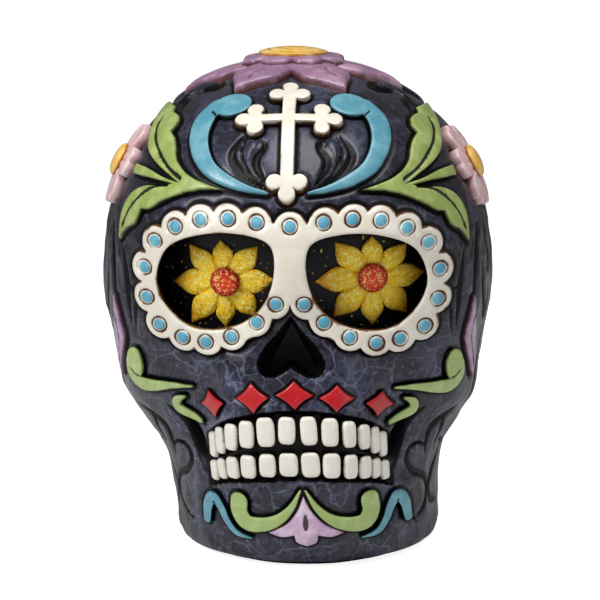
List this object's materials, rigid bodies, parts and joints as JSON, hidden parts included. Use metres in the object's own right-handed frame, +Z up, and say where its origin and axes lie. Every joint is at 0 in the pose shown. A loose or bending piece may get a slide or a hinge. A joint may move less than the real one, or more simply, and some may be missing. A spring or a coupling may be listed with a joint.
{
  "type": "sugar skull figurine",
  "caption": "Painted cast sugar skull with scalloped eye rims, flower eyes, a crown flower, scrolls, leaves and a full set of teeth, on a flat base",
  "frame": {"origin": "under the middle of the ornament, at the table, on the underside of the felt pad", "axes": "+Z is up from the table to the crown, the face looks towards -Y, +X is to the right of someone who faces it"},
  "size_m": [0.1022, 0.122, 0.1279],
  "materials": {
    "slate_resin": "cast stone resin, chiselled facets in dark slate with lavender-grey edges, black in the grooves, gloss varnish",
    "cream_paint": "cream paint on resin with a brown antique wash, satin varnish",
    "red_paint": "deep red gloss paint on resin",
    "blue_paint": "turquoise paint on resin with pale strokes, satin varnish",
    "green_paint": "yellow-green paint on resin with dark veins, satin varnish",
    "mauve_paint": "mauve paint on resin with pale pink edges, satin varnish",
    "lilac_paint": "pale lilac paint on resin, satin varnish",
    "pink_paint": "dusty pink paint on resin with brown edges, satin varnish",
    "yellow_paint": "warm yellow paint on resin with orange-brown strokes, satin varnish",
    "yellow_glitter": "yellow glitter in clear lacquer on resin",
    "red_glitter": "red-orange glitter in clear lacquer on resin",
    "plug_rubber": "soft dark rubber",
    "felt": "dark felt"
  },
  "bodies": {
    "root": {"skull_casting": "slate_resin", "base_plug": "plug_rubber", "felt_pad": "felt", "eye_rim": "cream_paint", "forehead_cross": "cream_paint", "chin_lotus": "mauve_paint", "crown_outer_petals": "mauve_paint", "crown_inner_petals": "mauve_paint", "crown_flower_centre": "yellow_paint", "eye_flower_petals_left": "yellow_glitter", "eye_flower_petals_right": "yellow_glitter", "eye_flower_centre_left": "red_glitter", "eye_flower_centre_right": "red_glitter", "temple_flower_petals_left": "pink_paint", "temple_flower_petals_right": "pink_paint", "temple_flower_centre_left": "yellow_paint", "temple_flower_centre_right": "yellow_paint", "temple_leaf_spray_left": "green_paint", "temple_leaf_spray_right": "green_paint", "forehead_scroll_left": "blue_paint", "forehead_scroll_right": "blue_paint", "cheek_scroll_left": "green_paint", "cheek_scroll_right": "green_paint", "cheek_curl_left": "green_paint", "cheek_curl_right": "green_paint", "cheek_spear_left": "lilac_paint", "cheek_spear_right": "lilac_paint", "chin_green_scroll_left": "green_paint", "chin_green_scroll_right": "green_paint", "chin_blue_scroll_left": "blue_paint", "chin_blue_scroll_right": "blue_paint", "lip_diamond_1": "red_paint", "lip_diamond_2": "red_paint", "lip_diamond_3": "red_paint", "lip_diamond_4": "red_paint", "lip_diamond_5": "red_paint", "upper_tooth_1": "cream_paint", "lower_tooth_1": "cream_paint", "upper_tooth_2": "cream_paint", "lower_tooth_2": "cream_paint", "upper_tooth_3": "cream_paint", "lower_tooth_3": "cream_paint", "upper_tooth_4": "cream_paint", "lower_tooth_4": "cream_paint", "upper_tooth_5": "cream_paint", "lower_tooth_5": "cream_paint", "upper_tooth_6": "cream_paint", "lower_tooth_6": "cream_paint", "upper_tooth_7": "cream_paint", "lower_tooth_7": "cream_paint", "upper_tooth_8": "cream_paint", "lower_tooth_8": "cream_paint", "upper_tooth_9": "cream_paint", "lower_tooth_9": "cream_paint", "upper_tooth_10": "cream_paint", "lower_tooth_10": "cream_paint", "upper_tooth_11": "cream_paint", "lower_tooth_11": "cream_paint", "upper_tooth_12": "cream_paint", "lower_tooth_12": "cream_paint"}
  },
  "joints": []
}
